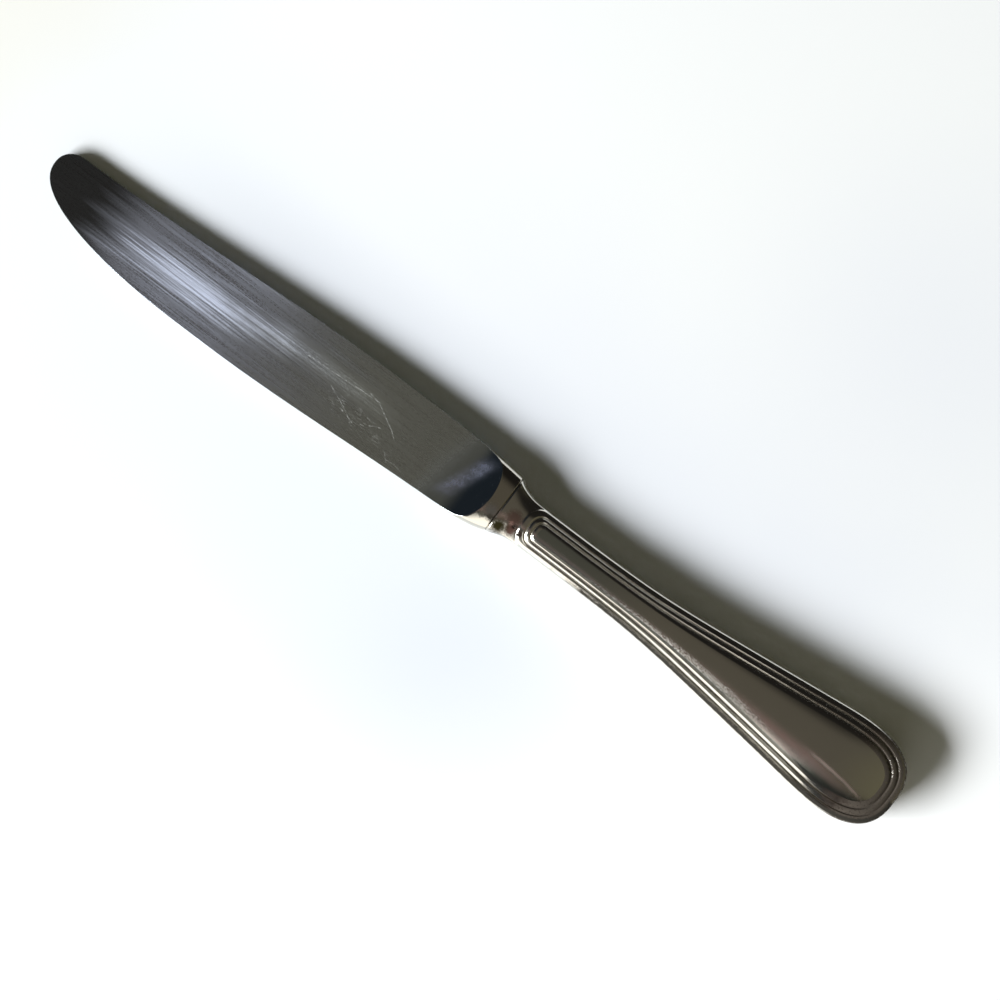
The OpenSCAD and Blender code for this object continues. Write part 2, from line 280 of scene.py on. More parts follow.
def lifted(flat, rise, deep=0):
    height = np.maximum(handle["solder"] / 2, crown(flat[:, 0], flat[:, 1], deep) + rise)
    return np.column_stack([flat, height])


def shellRows():  # inside first, from the ridge to the seam, and then outside, from the seam to the ridge
    # each row has its marks: how near it lies to the outer thread's crest, how deep it lies in a groove,
    # and how many millimetres inside the panel its points are, or -1
    offPanel = np.full(fullCount, -1.0)
    outside = []
    outline = aroundHandle(lambda side: outlineLine(side, 0))
    firstRow = aroundHandle(lambda side: borderLine(0))
    onSeam = station < border["seamCount"]
    # the collar's rows are even, and those at the sides crowd towards the outline
    collar = 1 - clamp((station - border["seamCount"]) / (border["archCount"] - border["seamCount"]))
    for k in range(border["rimRows"]):
        t = k / border["rimRows"]
        row = lifted(mix(outline, firstRow, mix(t ** 2, t, collar)[:, None]), 0)
        if k == 0:
            row[~onSeam, 2] = handle["solder"] / 2
        outside.append((row, 0, 0, offPanel))
    lastPlace = len(border["rise"]) - 1
    for place in np.linspace(0, lastPlace, lastPlace * border["rowSteps"] + 1):
        rise = border["threadRise"] * smoothRow(border["rise"], place)
        row = lifted(aroundHandle(lambda side: borderLine(place)), rise)
        outer = max(0, 1 - abs(place - border["crest"]) / border["crestReach"])
        groove = max(0, *(1 - abs(place - at) / border["grooveReach"] for at in border["grooves"]))
        outside.append((row, outer, groove, offPanel))
    panelX, panelY = borderLine(lastPlace)
    panel = aroundHandle(lambda side: (panelX, panelY))
    ridgeX = mix(*border["ridge"], (panelX - panelX[0]) / (panelX[-1] - panelX[0]))
    ridge = np.column_stack([ridgeX, np.zeros(len(ridgeX))])
    for k in range(1, border["panelRows"]):
        part = k / border["panelRows"]
        row = lifted(mix(panel, ridge[station], part), handle["panelRise"])
        outside.append((row, 0, 0, part * panelY[station] + border["panelMargin"]))
    inside = []
    insideOutline = aroundHandle(lambda side: outlineLine(side, handle["wall"]))
    for part in border["innerParts"]:
        row = lifted(mix(insideOutline, ridge[station], part), 0, handle["wall"])
        if part == 0:
            row[~onSeam, 2] = handle["solder"] / 2
        inside.append((row, 0, 0, offPanel))
    return inside[::-1] + outside, lifted(ridge, 0, handle["wall"]), lifted(ridge, handle["panelRise"])


def makeShell(name, up):
    rows, ridgeIn, ridgeOut = shellRows()
    points = np.concatenate([row[0] for row in rows] + [ridgeIn, ridgeOut]) * [1, 1, up]
    here = np.arange(fullCount)
    nextOne = (here + 1) % fullCount
    bands = []
    for k in range(len(rows) - 1):
        a, b = k * fullCount, (k + 1) * fullCount
        bands.append((a + here, a + nextOne, b + nextOne, b + here))
    ridge = len(rows) * fullCount
    bands.append((nextOne, here, ridge + station, ridge + station[nextOne]))
    top = (len(rows) - 1) * fullCount
    ridge += halfCount + 1
    bands.append((top + here, top + nextOne, ridge + station[nextOne], ridge + station))
    faces = np.concatenate([np.column_stack(band) for band in bands])
    if up > 0:
        faces = faces[:, ::-1]
    # two corners of a face meet on the axis at the neck and the butt, so those faces are triangles
    faces = [list(dict.fromkeys(face)) for face in faces.tolist()]
    onRidge = np.zeros(halfCount + 1)
    outer = np.concatenate([*(np.full(fullCount, row[1]) for row in rows), onRidge, onRidge])
    groove = np.concatenate([*(np.full(fullCount, row[2]) for row in rows), onRidge, onRidge])
    inward = np.concatenate([*(row[3] for row in rows), onRidge - 1, onRidge + border["ridgeInward"]])
    return addMesh(name, onTable(points), faces, {"outer": outer, "groove": groove, "inward": inward})


# Setting down: the knife lies on its neck and on the belly of the handle, and the tip is just clear

def restOnHandle(balance=30):  # the lean and the lift; the centre of mass is abreast of balance
    rows, _, ridge = shellRows()
    face = np.concatenate([row[0] for row in rows[len(border["innerParts"]):]] + [ridge])
    line = face[abs(face[:, 1]) < 0.01]    # along the axis
    neck, belly = line[line[:, 0] < balance], line[line[:, 0] > balance]
    slopes = (belly[None, :, 2] - neck[:, None, 2]) / (belly[None, :, 0] - neck[:, None, 0])
    angle = math.atan(slopes.max(axis=1).min())
    return angle, float(np.max(face[:, 2] * math.cos(angle) - face[:, 0] * math.sin(angle)))


lean, lift = restOnHandle()
middle = (blade["length"] - handle["length"]) / 2
setDown = Matrix.Translation((middle * math.cos(lean), 0, lift)) @ Matrix.Rotation(-lean, 4, "Y")


def onTable(points):
    turned = points @ np.array(setDown.to_3x3()).T + np.array(setDown.translation)
    return turned * metre


# Blade, bolster and tang

bladeMesh = {
    "across": 150,             # steps from spine to edge
    "tipSteps": 160,
    "middleSteps": 120,
    "bolsterSteps": 230,
    "bolsterStart": -24,
    "crownStart": -12,         # the bolster's finish begins where the crown meets the blade behind this
    "tipGap": 0.005,           # the first section is this far from the very tip
    "tang": (48, 6, 3.4),      # length, width and thickness
}


def bladeSections():  # closed loops of points from the tip to the seam, and what of each is bolster
    b, m = blade, bladeMesh
    turn = np.linspace(0, np.pi / 2, m["tipSteps"], endpoint=False)
    tip = np.maximum(m["tipGap"], b["tipSweep"] * (1 - np.cos(turn))) - b["length"]
    mid = np.linspace(b["tipSweep"] - b["length"], m["bolsterStart"], m["middleSteps"], endpoint=False)
    end = np.linspace(m["bolsterStart"], 0, m["bolsterSteps"])
    part = (1 - np.cos(np.linspace(0, np.pi, m["across"] + 1))) / 2
    x = np.repeat(np.concatenate([tip, mid, end])[:, None], len(part), axis=1)
    y = mix(spine(x), edge(x), part)
    top = np.minimum(crown(x, y), groundFace(x, y))
    bolster = (crown(x, y) < groundFace(x, y)) & (x > m["crownStart"])
    top[:, [0, -1]] = 0
    loop = np.concatenate([np.dstack([x, y, top]), np.dstack([x, y, -top])[:, -2:0:-1]], axis=1)
    bolster = np.concatenate([bolster, bolster[:, -2:0:-1]], axis=1)
    # the last loop draws in to the small spigot that leaves the groove at the seam
    last = loop[-1]
    drawnY = last[:, 1] * (1 - b["groove"] / halfWidth(0, np.where(last[:, 1] < 0, -1, 1)))
    drawnZ = last[:, 2] * (1 - b["groove"] / float(crown(0.0, 0.0)))
    spigot = np.column_stack([last[:, 0], drawnY, drawnZ])
    return [*loop, spigot, spigot + [b["groove"], 0, 0]], [*bolster, bolster[-1], bolster[-1]]


def makeBlade(name):
    sections, bolster = bladeSections()
    count = len(sections[0])
    here = np.arange(count)
    nextOne = (here + 1) % count
    faces = []
    for k in range(len(sections) - 1):
        a = k * count
        faces += np.column_stack([a + here, a + count + here, a + count + nextOne, a + nextOne]).tolist()
    faces.append(here.tolist())
    faces.append(((len(sections) - 1) * count + here[::-1]).tolist())
    points = np.concatenate(sections)
    # the tang is a bar that starts inside the bolster
    tangLength, tangWide, tangThick = bladeMesh["tang"]
    first = len(points)
    corners = [(x, y * tangWide / 2, z * tangThick / 2)
               for x in (-1, tangLength) for y in (-1, 1) for z in (-1, 1)]
    sides = [(0, 1, 3, 2), (4, 6, 7, 5), (0, 4, 5, 1), (2, 3, 7, 6), (0, 2, 6, 4), (1, 5, 7, 3)]
    faces += [[first + corner for corner in side] for side in sides]
    points = np.concatenate([points, corners])
    onBolster = np.concatenate([*bolster, np.zeros(len(corners))])
    return addMesh(name, onTable(points), faces, {"bolster": onBolster})


# Finishes

class Wire:  # a socket that can be reckoned with
    def __init__(self, tree, socket):
        self.tree = tree
        self.socket = socket

    def __add__(self, other):
        return self.tree.reckon("ADD", self, other)

    def __sub__(self, other):
        return self.tree.reckon("SUBTRACT", self, other)

    def __rsub__(self, other):
        return self.tree.reckon("SUBTRACT", other, self)

    def __mul__(self, other):
        return self.tree.reckon("MULTIPLY", self, other)

    def __neg__(self):
        return self.tree.reckon("MULTIPLY", self, -1)

    def __abs__(self):
        return self.tree.reckon("ABSOLUTE", self, 0)

    __radd__ = __add__
    __rmul__ = __mul__


class Tree:
    def __init__(self, tree):
        self.tree = tree
        tree.nodes.clear()

    def add(self, kind, settings=None, sockets=None, output=0):
        node = self.tree.nodes.new(kind)
        for key, value in (settings or {}).items():
            setattr(node, key, value)
        for key, value in (sockets or {}).items():
            if isinstance(value, Wire):
                self.tree.links.new(value.socket, node.inputs[key])
            else:
                node.inputs[key].default_value = value
        return Wire(self, node.outputs[output]) if node.outputs else node

    def reckon(self, operation, first, second):
        return self.add("ShaderNodeMath", {"operation": operation}, {0: first, 1: second})

    def larger(self, first, second):
        return self.reckon("MAXIMUM", first, second)

    def parts(self, vector):
        return [self.add("ShaderNodeSeparateXYZ", {}, {0: vector}, output) for output in range(3)]

    def mark(self, name):  # a value that the mesh carries
        return self.add("ShaderNodeAttribute", {"attribute_name": name}, output=2)

    def step(self, value, low, high):  # 0 below low, 1 above high, soft in between
        return self.add("ShaderNodeMapRange", {"interpolation_type": "SMOOTHSTEP"},
                        {"Value": value, "From Min": low, "From Max": high})

    def fade(self, value, low, high):  # 1 below low, 0 above high
        return 1 - self.step(value, low, high)

    def between(self, value, begins, ends):  # comes in over one stretch and goes over the other
        return self.step(value, *begins) * self.fade(value, *ends)

    def blend(self, share, first, second, mode="MIX"):
        first, second = ((*side, 1) if isinstance(side, tuple) else side for side in (first, second))
        settings = {"data_type": "RGBA", "blend_type": mode}
        return self.add("ShaderNodeMix", settings, {0: share, 6: first, 7: second}, 2)

    def distance(self, x, y, spot, squeeze=1):  # squeeze under 1 draws the spot out along the knife
        flat = self.add("ShaderNodeCombineXYZ", {}, {0: x * squeeze, 1: y})
        centre = (spot[0] * squeeze, spot[1], 0)
        return self.add("ShaderNodeVectorMath", {"operation": "DISTANCE"}, {0: flat, 1: centre}, 1)

    def scratches(self, place, lines, width):  # 1 on the lines, 0 away from them
        x, y, _ = self.parts(place)
        shiver = self.noise(place, 1.4, detail=3, roughness=0.7)
        x = x + (shiver - 0.5) * 0.9
        y = y - (shiver - 0.5) * 0.7
        total = 0
        for line in lines:
            for start, end in zip(line, line[1:]):
                length = math.dist(start, end)
                c, s = (end[0] - start[0]) / length, (end[1] - start[1]) / length
                along = x * c + y * s - (start[0] * c + start[1] * s)
                across = abs(y * c - x * s - (start[1] * c - start[0] * s))
                here = self.between(along, (-0.1, 0.1), (length - 0.1, length + 0.1))
                total = self.larger(here * self.fade(across, width * 0.4, width * 1.6), total)
        return total * self.step(shiver, 0.35, 0.6)

    def stains(self, place, spots):  # the colour of the stains, and how much they cover
        x, y, _ = self.parts(place)
        ragged = self.noise(place, 1.9, detail=5, roughness=0.8) - 0.5
        colour = spots[0][3]
        cover = 0
        for atX, atY, radius, stain in spots:
            away = self.distance(x, y, (atX, atY)) + ragged * 2.8
            spot = self.fade(away, radius * 0.35, radius * 1.35)
            colour = self.blend(spot, colour, stain)
            cover = self.larger(spot, cover)
        return colour, cover

    # it also lays the painted dark band on the plate's outer thread, a painted dark reflection
    def tarnishAndDarkBand(self, metal, colour, cover):  # tarnish doesn't mirror the room, so it isn't metal
        dull = self.add("ShaderNodeBsdfPrincipled", {}, {
            "Base Color": colour, "Roughness": 0.7, "Specular IOR Level": 0})
        return self.add("ShaderNodeMixShader", {}, {0: cover, 1: metal, 2: dull})

    def noise(self, vector, scale, detail=2, roughness=0.5, stretch=(1, 1, 1), turn=0):
        place = self.add("ShaderNodeMapping", {}, {
            "Vector": vector, "Scale": stretch, "Rotation": (0, 0, turn)})
        return self.add("ShaderNodeTexNoise", {}, {
            "Vector": place, "Scale": scale, "Detail": detail, "Roughness": roughness, "Distortion": 0})

    def finish(self, shader):
        self.add("ShaderNodeOutputMaterial", {}, {"Surface": shader})


def newFinish(name):
    material = bpy.data.materials.new(name)
    material.use_nodes = True
    return material, Tree(material.node_tree)


def inMillimetres(tree):  # the piece's own coordinates, with x from the seam
    place = tree.add("ShaderNodeTexCoord", output=3)
    scaled = tree.add("ShaderNodeVectorMath", {"operation": "SCALE"}, {0: place, "Scale": 1 / metre})
    return tree.add("ShaderNodeVectorMath", {"operation": "SUBTRACT"}, {0: scaled, 1: (middle, 0, 0)})


steelLook = {
    "flat": (0.44, 0.455, 0.415),      # brushed steel, a little olive
    # painted bluish reflection on the worn, rougher stretch behind the tip
    "wornSheen": (0.56, 0.60, 0.72),
    # painted dark reflection: the tip's steel is drawn almost black
    "tip": (0.088, 0.091, 0.093),
    # painted bluish reflection on the polished sweep
    "sweep": (0.60, 0.68, 0.72),
    # the scuffs are rougher, and a bluish reflection is painted on them
    "scuffSheen": (0.56, 0.60, 0.86),
    "bolster": (0.72, 0.68, 0.60),
    "scratch": (0.74, 0.76, 0.74),
    "flatRoughness": 0.28,
    "sweepRoughness": 0.11,
    "scratchRoughness": 0.55,
    "scuffGain": 0.22,                 # how much rougher the scuffs are than the sweep
    "wornGain": 0.32,                  # and the worn stretch than the flat
    "brushHeight": 0.025,
    # the stretches of x over which a change comes in or goes
    "tipEnds": (-119, -103),
    "wornBegins": (-116, -88),
    "wornEnds": (-84, -52),
    # where the painted bluish reflection ends
    "blueEnds": (-84, -34),
    "trail": ((-78, -62), (-46, -30)),     # comes in over the first and goes over the second
    "hazeEnds": (-48, -20),
    "brushEnds": (-24, -11),
    "sweepColourBegins": (-20, -10),
    "sweepShineBegins": (-17.5, -10),
    # y of the brightest streaks near the tip and near the heel, and the stretch of x between the two
    "brightLine": (-2.6, 1.0),
    "brightLineBends": (-80, -56),
    "dimTowardsEdge": (-9, -4),        # of y
    "hairlines": (-39, -2.5),          # x and y of their middle
    "scuffBand": (-10.6, 0.4, 0.41),   # x and y of its middle, and its slant
    "bruise": (-10.2, 1.5),            # the worst of the scuffs
    # scratches as lines through points (x, y), millimetres
    "scratchWidth": 0.07,
    "scratches": [
        [(-57, 0.7), (-50, 1.0), (-43.5, 1.5), (-37, 1.9)],
        [(-48.6, -1.7), (-45, -3.2), (-42, -4.6), (-39.7, -6.2)],
        [(-40.3, 2.4), (-36.8, 1.6), (-34, 0), (-31, -1.6), (-29, -3.2)],
        [(-37.4, -2.6), (-36, -2.9), (-34.6, -2.4)],
        [(-35.9, -4), (-34.6, -3.1), (-33.2, -2.8)],
        [(-43.8, -4.7), (-41.5, -5.1), (-39.4, -5.8)],
        [(-28.1, -7.9), (-26, -7.6), (-23.6, -8)],
        [(-29.3, -6.6), (-27.6, -8.4)],
    ],
    # tarnish beside the seam: x, y, radius, colour
    "stains": [
        (-1.4, -2.6, 1.9, (0.052, 0.046, 0.039)),
        (-0.7, -3.9, 1.0, (0.030, 0.026, 0.020)),
        (-2.7, -4.4, 0.8, (0.060, 0.054, 0.042)),
    ],
}


def steelNoises(tree, place):  # each is 0 on average, and the first four are drawn out along the blade
    lines = tree.noise(place, 1, detail=3, roughness=0.6, stretch=(0.022, 3, 1))
    return {
        "streaks": tree.noise(place, 1, detail=3, roughness=0.6, stretch=(0.016, 0.6, 1)) - 0.5,
        "brushed": tree.noise(place, 1, detail=5, roughness=0.7, stretch=(0.03, 2.2, 1)) - 0.5,
        "lines": tree.step(lines, 0.36, 0.64) - 0.5,
        "fine": tree.noise(place, 1, detail=2, roughness=0.6, stretch=(0.08, 7, 1)) - 0.5,
        "grain": tree.noise(place, 1, detail=4, roughness=0.8, stretch=(2, 3.6, 1)) - 0.5,
        "cloud": tree.noise(place, 0.13, detail=3, roughness=0.55) - 0.5,
    }


def bladeWear(tree, place, x, y, noises):  # how much rougher than the flat the blade is
    look = steelLook
    streaks, brushed, lines, _, grain, cloud = noises.values()
    # the stretch behind the tip is worn: rougher, so it catches the window
    begins = tree.step(x - y * 0.7 + streaks * 26 + brushed * 30, *look["wornBegins"])
    ends = tree.fade(x + streaks * 36 + cloud * 24, *look["wornEnds"])
    line = mix(*look["brightLine"], tree.step(x, *look["brightLineBends"]))
    away = abs(y - line + streaks * 4)
    core = tree.fade(away, 0.5, 5) * (0.675 + lines * 0.65)
    haze = (core * 0.2 + lines * 0.06) * tree.fade(x + cloud * 20, *look["hazeEnds"]) * begins
    texture = brushed * 0.55 + streaks * 0.7 + lines * 0.24 + grain * 0.8
    fromEdge = tree.step(y + streaks * 3, *look["dimTowardsEdge"])
    wornSheen = begins * ends * (0.08 + fromEdge * 0.1 + core * 0.55 + texture)
    # a trail of rough patches leads on from there to the scratches in the middle of the blade
    trail = tree.fade(away, 0.6, 3.2) * tree.between(x, *look["trail"])
    clumps = tree.noise(place, 2.4, detail=5, roughness=0.85, stretch=(0.7, 1.2, 1))
    return wornSheen + haze + grain * 0.24 + trail * tree.step(clumps, 0.44, 0.7) * 0.44


def bladeScratches(tree, place, x, y, noises):
    look = steelLook
    atX, atY = look["hairlines"]
    askew = tree.noise(place, 1, detail=3, roughness=0.7, stretch=(0.7, 4.5, 1), turn=0.45)
    here = tree.fade(abs(x - atX), 6, 15) * tree.fade(abs(y - atY), 2, 6)
    hairlines = tree.step(askew, 0.56, 0.66) * tree.step(noises["cloud"], -0.06, 0.1) * here * 0.6
    depth = 0.35 + tree.step(noises["grain"], -0.12, 0.12) * 0.5
    return tree.larger(tree.scratches(place, look["scratches"], look["scratchWidth"]) * depth, hairlines)


def sweepScuffs(tree, place, x, y):  # a band of scuffs slants across the place where the sweep begins
    atX, atY, slant = steelLook["scuffBand"]
    slanted = x - y * slant
    band = tree.fade(abs(slanted - atX), 0.6, 3.4) * tree.fade(abs(y - atY), 4.5, 8.5)
    cloudy = tree.noise(place, 0.6, detail=4, roughness=0.7)
    rubbed = tree.noise(place, 3.4, detail=6, roughness=0.95, stretch=(1, 1.6, 1), turn=0.5)
    bruise = tree.fade(tree.distance(slanted, y * 0.45, steelLook["bruise"]), 0.1, 2.1)
    return band * (0.4 + tree.step(cloudy, 0.25, 0.75) * 0.4), bruise * tree.step(rubbed, 0.46, 0.8) * 0.75


def bladeSteel():
    look = steelLook
    material, tree = newFinish("bladeSteel")
    place = inMillimetres(tree)
    x, y, _ = tree.parts(place)
    noises = steelNoises(tree, place)
    streaks, brushed, _, fine, _, cloud = noises.values()
    scratched = bladeScratches(tree, place, x, y, noises)
    scuffSheen, bruise = sweepScuffs(tree, place, x, y)
    shine = tree.step(x - y * 0.22 + cloud * 3, *look["sweepShineBegins"])
    rough = look["flatRoughness"] + bladeWear(tree, place, x, y, noises) * look["wornGain"] + fine * 0.08
    rough = mix(rough, look["sweepRoughness"], shine) + scuffSheen * look["scuffGain"]
    rough = mix(rough, look["scratchRoughness"], tree.larger(scratched, bruise))
    colour = look["flat"]
    for share, name in (
        # painted bluish reflection
        (tree.fade(x + streaks * 20, *look["blueEnds"]), "wornSheen"),
        # painted dark reflection at the tip
        (tree.fade(x - y * 0.2 + streaks * 16, *look["tipEnds"]), "tip"),
        # painted bluish reflection on the sweep
        (tree.step(x - y * 0.2 + cloud * 4, *look["sweepColourBegins"]), "sweep"),
        # painted bluish reflection on the scuffs
        (scuffSheen, "scuffSheen"),
        (tree.mark("bolster"), "bolster"),
        (scratched, "scratch"),
    ):
        colour = tree.blend(share, colour, look[name])
    height = (brushed + fine + 1) * tree.fade(x, *look["brushEnds"]) * look["brushHeight"]
    bump = tree.add("ShaderNodeBump", {}, {"Strength": 1, "Distance": 0.0002, "Height": height})
    steel = tree.add("ShaderNodeBsdfPrincipled", {}, {
        "Base Color": colour, "Metallic": 1, "Roughness": rough, "Normal": bump})
    tree.finish(tree.tarnishAndDarkBand(steel, *tree.stains(place, look["stains"])))
    return material


plateLook = {
    "plate": (0.80, 0.77, 0.70),
    "dirt": (0.25, 0.20, 0.14),        # in the grooves
    "shade": (0.56, 0.60, 0.57),       # the panel near the arch
    # painted greenish reflection on the panel's corner near the butt
    "greenReflection": (0.64, 0.70, 0.61),       # the panel's corner near the butt
    # painted pinkish sheen near the butt, where the panel is also rougher
    "pinkSheen": (0.92, 0.72, 0.66),
    "buttTarnish": (0.074, 0.062, 0.051),
    # painted dark reflection: a dark, dull band on the outer thread of the edge's side
    "darkBand": (0.034, 0.031, 0.026),    # on the outer thread of the edge's side
    "roughness": 0.14,
    "dirtGain": 0.2,                   # how much rougher than the plate each of these is
    "frostGain": 0.54,
    "blushGain": (0.05, 0.14),         # from and to, over the stretch blushBrightens
    "reflectionLineGain": 0.1,
    # the stretches of x over which a change comes in or goes
    "shadeEnds": (20, 48),
    "darkBandBegins": (16, 30),
    "frost": ((18, 44), (64, 86)),     # comes in over the first and goes over the second
    "frostLeaves": (35, 72, 1.21),     # the last is how far it then lies from the border
    "blushBrightens": (78, 96),
    "buttBegins": (97, 106),
    "reflectionLineEnds": (104, 108.5),
    "greenSpot": (98.06, -6.6, 0.36),  # x, y and squeeze
    "blushSpot": (88.33, -3.6, 0.12),
    # painted reflection line on the panel near the butt
    "reflectionLine": (87, -2.4, 0.0046),      # x and y where it begins, and how fast it bends away
    # tarnish beside the seam: x, y, radius, colour
    "stains": [
        (3.9, -0.7, 2.1, (0.048, 0.030, 0.023)),
        (4.6, -3.2, 2.0, (0.060, 0.034, 0.027)),
        (1.5, -2.1, 1.1, (0.120, 0.088, 0.072)),
        (5.0, -2.3, 0.6, (0.012, 0.007, 0.005)),
        (4.0, -2.0, 0.5, (0.150, 0.085, 0.070)),
        (2.0, -4.2, 2.3, (0.018, 0.015, 0.006)),
        (6.9, -3.0, 1.0, (0.016, 0.011, 0.008)),
    ],
}


def plateTarnishAndDarkBand(tree, place, mottle, onPanel):  # its colour, and how much it covers
    look = plateLook
    x, y, z = tree.parts(place)
    outer = tree.mark("outer")
    ragged = tree.noise(place, 2.2, detail=4, roughness=0.8)
    # the border round the butt is tarnished, most evenly on its wall and least on the outer thread
    aboveSeam = z - x * math.tan(lean) - lift
    wall = tree.fade(abs(aboveSeam), 1.6, 2.8)
    butt = tree.step(x + mottle * 10, *look["buttBegins"]) * (1 - onPanel)
    butt = butt * tree.larger(tree.step(ragged, 0.2, 0.5), wall * (0.82 + mottle * 0.4))
    butt = butt * (1 - tree.step(outer, 0.5, 1) * (0.35 + mottle * 0.5))
    # painted dark reflection: a dark, dull band sits on the outer thread of the edge's side
    darkBand = tree.step(outer + (ragged - 0.5) * 1.6, 0.3, 0.62) * tree.fade(y, -1, 0)
    darkBand = darkBand * tree.step(x + mottle * 20, *look["darkBandBegins"])
    stain, stained = tree.stains(place, look["stains"])
    colour = tree.blend(butt, stain, look["buttTarnish"])
    colour = tree.blend(darkBand, colour, look["darkBand"])
    return colour, tree.larger(tree.larger(butt, darkBand), stained)


def panelWear(tree, place, mottle, inward, onPanel):
    look = plateLook
    x, y, _ = tree.parts(place)
    speckle = tree.noise(place, 3.6, detail=4, roughness=0.85)
    # fine wear frosts the panel beside the border on the edge's side
    leaves, left, gap = look["frostLeaves"]
    beside = tree.fade(abs(inward - tree.step(x, leaves, left) * gap + mottle * 1.2), 0.1, 1.6)
    frost = tree.between(x, *look["frost"]) * tree.fade(y, -1, 0)
    frost = frost * beside * tree.step(speckle, 0.44, 0.66) * onPanel
    # older wear roughens it near the butt, and a pinkish sheen is painted there
    *spot, squeeze = look["blushSpot"]
    away = tree.distance(x, y + tree.step(x, 72, 90) * 0.8, spot, squeeze) + mottle * 2
    pinkSheen = tree.fade(away, 0.4, 2.7) * (0.6 + tree.step(speckle, 0.4, 0.62) * 0.4) * onPanel
    # and a painted reflection line there bends from the axis towards the edge's side
    startX, startY, bend = look["reflectionLine"]
    along = tree.larger(x - startX, 0)
    reflectionLine = tree.fade(abs(y - startY + along * along * bend + mottle * 0.5), 0.05, 0.75) * onPanel
    reflectionLine = reflectionLine * tree.step(x, startX - 2, startX + 9) * tree.fade(x, *look["reflectionLineEnds"])
    return frost, pinkSheen, reflectionLine


def silverPlate():
    look = plateLook
    material, tree = newFinish("silverPlate")
    place = inMillimetres(tree)
    x, y, _ = tree.parts(place)
    mottle = tree.noise(place, 0.35, detail=4, roughness=0.6) - 0.5
    inward = tree.mark("inward")
    onPanel = tree.step(inward, -0.1, 0.1)
    dirt = tree.step(tree.mark("groove") * 0.8 + mottle * 0.5, 0.25, 0.9)
    # painted greenish reflection near the butt
    *spot, squeeze = look["greenSpot"]
    greenReflection = tree.fade(tree.distance(x, y, spot, squeeze) + mottle * 1.5, 2.4, 4) * onPanel
    frost, pinkSheen, reflectionLine = panelWear(tree, place, mottle, inward, onPanel)
    # the painted reflection line takes the pinkish sheen's colour
    pinkSheen = tree.larger(pinkSheen, reflectionLine)
    colour = look["plate"]
    for share, name in (
        (dirt * 0.6, "dirt"),
        (tree.fade(x, *look["shadeEnds"]) * onPanel, "shade"),
        (greenReflection, "greenReflection"),
        # painted pinkish sheen
        (pinkSheen * 0.8, "pinkSheen"),
    ):
        colour = tree.blend(share, colour, look[name])
    blushGain = mix(*look["blushGain"], tree.step(x, *look["blushBrightens"]))
    rough = look["roughness"] + mottle * 0.08 + dirt * look["dirtGain"] + frost * look["frostGain"]
    rough = rough + pinkSheen * (1 - frost) * blushGain + reflectionLine * look["reflectionLineGain"]
    plate = tree.add("ShaderNodeBsdfPrincipled", {}, {
        "Base Color": colour, "Metallic": 1, "Roughness": rough})
    tree.finish(tree.tarnishAndDarkBand(plate, *plateTarnishAndDarkBand(tree, place, mottle, onPanel)))
    return material


solderLook = {
    "dark": (0.46, 0.44, 0.40),
    "light": (0.66, 0.64, 0.60),
    "roughness": (0.3, 0.5),
}


def solderLine():
    look = solderLook
    material, tree = newFinish("solderLine")
    mottle = tree.noise(inMillimetres(tree), 1.5, detail=4, roughness=0.6)
    colour = tree.blend(mottle, look["dark"], look["light"])
    rough = mix(*look["roughness"], mottle)
    tree.finish(tree.add("ShaderNodeBsdfPrincipled", {}, {
        "Base Color": colour, "Metallic": 1, "Roughness": rough}))
    return material


cementLook = {
    "dark": (0.20, 0.15, 0.11),
    "light": (0.45, 0.38, 0.31),
    "roughness": 0.85,
}


def handleCement():
    look = cementLook
    material, tree = newFinish("handleCement")
    grain = tree.noise(inMillimetres(tree), 2.5, detail=6, roughness=0.7)
    colour = tree.blend(grain, look["dark"], look["light"])
    bump = tree.add("ShaderNodeBump", {}, {"Strength": 0.3, "Distance": 0.0003, "Height": grain})
    tree.finish(tree.add("ShaderNodeBsdfPrincipled", {}, {
        "Base Color": colour, "Roughness": look["roughness"], "Normal": bump}))
    return material


paperLook = {
    # painted shade: the paper is drawn bluish grey beside the knife
    "near": (0.82, 0.835, 0.88),       # beside the knife
    "far": (0.89, 0.895, 0.895),
    "beyondTip": (0.80, 0.79, 0.745),
    # painted light: the lower part of the picture is drawn brighter
    "below": (0.97, 0.97, 0.97),       # the lower part of the picture
    # painted shadow beside the blade's spine
    "paintedBladeShadow": (0.70, 0.72, 0.77),
    # the stretches over which these come in, measured away from the knife
    "farBegins": (15, 90),
    "beyondTipBegins": (105, 170),
    "belowBegins": (5, 75),
    "cloudShift": 40,                  # how far clouds move these stretches
    "downwards": (0.6, -0.8),          # towards the bottom of the picture
    # where the painted shadow behind the blade begins and ends, along x and along y
    "alongBlade": ((-130, -70), (-10, 30)),
    "besideBlade": ((0, 8), (12, 36)),
    # duller patches: x, y, radius and colour
    "dull": [
        (4, -32, 78, (0.75, 0.78, 0.83)),
        (58, 88, 70, (0.83, 0.84, 0.87)),
        (-95, -34, 80, (0.80, 0.83, 0.84)),
        (-38, -26, 56, (0.79, 0.82, 0.84)),
    ],
}


